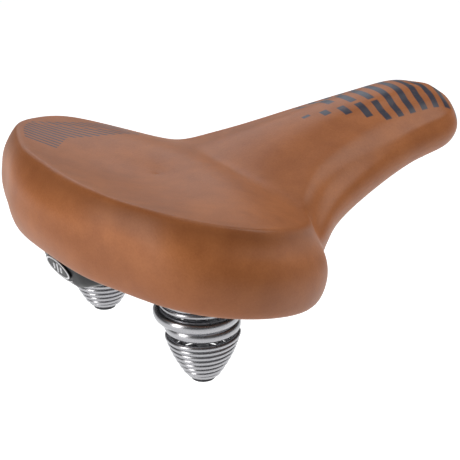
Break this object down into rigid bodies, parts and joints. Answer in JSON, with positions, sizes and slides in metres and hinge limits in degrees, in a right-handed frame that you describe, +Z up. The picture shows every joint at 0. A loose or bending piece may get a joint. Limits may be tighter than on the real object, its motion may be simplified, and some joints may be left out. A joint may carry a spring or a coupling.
{
  "type": "sprung bicycle saddle",
  "caption": "Wide city bicycle saddle with a moulded vinyl cover over foam, a one-piece rail wire and paired conical coil springs.",
  "frame": {"origin": "midway between the two rails, in the middle of their straight clamp zone, on their centre lines", "axes": "+X towards the nose, +Y to the rider's left, +Z up"},
  "size_m": [0.2722, 0.217, 0.1136],
  "materials": {
    "tan_vinyl": "satin",
    "foam": "matte",
    "black_plastic": "satin",
    "chrome": "polished",
    "zinc": "satin",
    "white_print": "gloss"
  },
  "bodies": {
    "rail_frame": {"rail": "chrome", "upper_spring_left": "chrome", "upper_spring_right": "chrome", "lower_spring_left": "chrome", "lower_spring_right": "chrome"},
    "seat": {"cover": "tan_vinyl", "padding": "foam", "base_shell": "black_plastic", "spring_seat_left": "zinc", "spring_seat_right": "zinc", "bottom_cap_left": "black_plastic", "bottom_cap_right": "black_plastic", "spring_bolt_left": "zinc", "spring_bolt_right": "zinc", "top_washer_left": "zinc", "top_washer_right": "zinc", "lock_nut_left": "zinc", "lock_nut_right": "zinc", "rear_bumper": "black_plastic", "bumper_screw_left": "zinc", "bumper_screw_right": "zinc", "badge": "white_print", "nose_clip": "zinc", "clip_screw_left": "zinc", "clip_screw_right": "zinc"}
  },
  "joints": [
    {"name": "seat_sink", "type": "hinge", "parent": "rail_frame", "child": "seat", "pos_m": [0.096, 0, 0.04], "axis": [0, -1, 0], "range_deg": [0, 4], "stiffness_Nm_per_rad": 1000, "springref_deg": -0.29, "deforming": ["upper_spring_left", "upper_spring_right", "lower_spring_left", "lower_spring_right"]}
  ]
}
